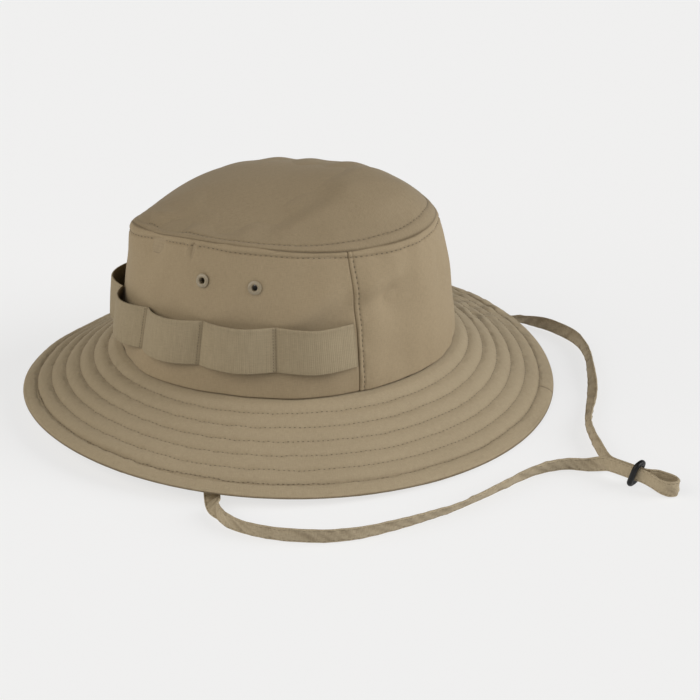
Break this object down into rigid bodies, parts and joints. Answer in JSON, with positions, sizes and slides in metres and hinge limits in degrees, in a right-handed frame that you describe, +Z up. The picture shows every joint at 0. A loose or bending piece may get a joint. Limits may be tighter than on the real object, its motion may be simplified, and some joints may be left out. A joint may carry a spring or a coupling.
{
  "type": "boonie hat",
  "caption": "Wide-brim boonie hat with a soft domed crown, vent eyelets, a looped webbing band, a quilted brim and a chin strap with a ring slider.",
  "frame": {"origin": "on the table under the middle of the hat's brim", "axes": "+Z up, -Y the front of the hat, +Y its back, -X the wearer's right side"},
  "size_m": [0.3206, 0.4092, 0.1386],
  "materials": {
    "body_cloth": "matte tightly woven cotton blend",
    "interlining": "matte",
    "lining_tape": "matte twill",
    "label_cloth": "matte, blank",
    "webbing": "matte ribbed webbing",
    "thread": "matte thread",
    "painted_eyelet": "satin paint",
    "slider_rubber": "satin"
  },
  "bodies": {
    "hat": {"crown_front_panel": "body_cloth", "crown_back_panel": "body_cloth", "crown_tip": "body_cloth", "tip_seam_binding": "lining_tape", "sweatband": "lining_tape", "care_label": "label_cloth", "side_seam_binding_right": "lining_tape", "side_seam_binding_left": "lining_tape", "brim_upper": "body_cloth", "brim_interlining": "interlining", "brim_under": "body_cloth", "foliage_band": "webbing", "loop_tack_1": "thread", "loop_tack_2": "thread", "loop_tack_3": "thread", "loop_tack_4": "thread", "loop_tack_5": "thread", "loop_tack_6": "thread", "loop_tack_7": "thread", "loop_tack_8": "thread", "loop_tack_9": "thread", "vent_eyelet_right_front": "painted_eyelet", "vent_eyelet_right_rear": "painted_eyelet", "vent_eyelet_left_front": "painted_eyelet", "vent_eyelet_left_rear": "painted_eyelet", "eyelet_washer_right_front": "painted_eyelet", "eyelet_washer_right_rear": "painted_eyelet", "eyelet_washer_left_front": "painted_eyelet", "eyelet_washer_left_rear": "painted_eyelet", "strap_tack_right": "thread", "strap_tack_left": "thread", "chin_strap": "body_cloth"},
    "slider": {"chin_strap_slider": "slider_rubber"}
  },
  "joints": [
    {"name": "slider_on_strap", "type": "slide", "parent": "hat", "child": "slider", "axis": [0.3297, 0.9441, 0], "range_m": [0, 0.011]}
  ]
}
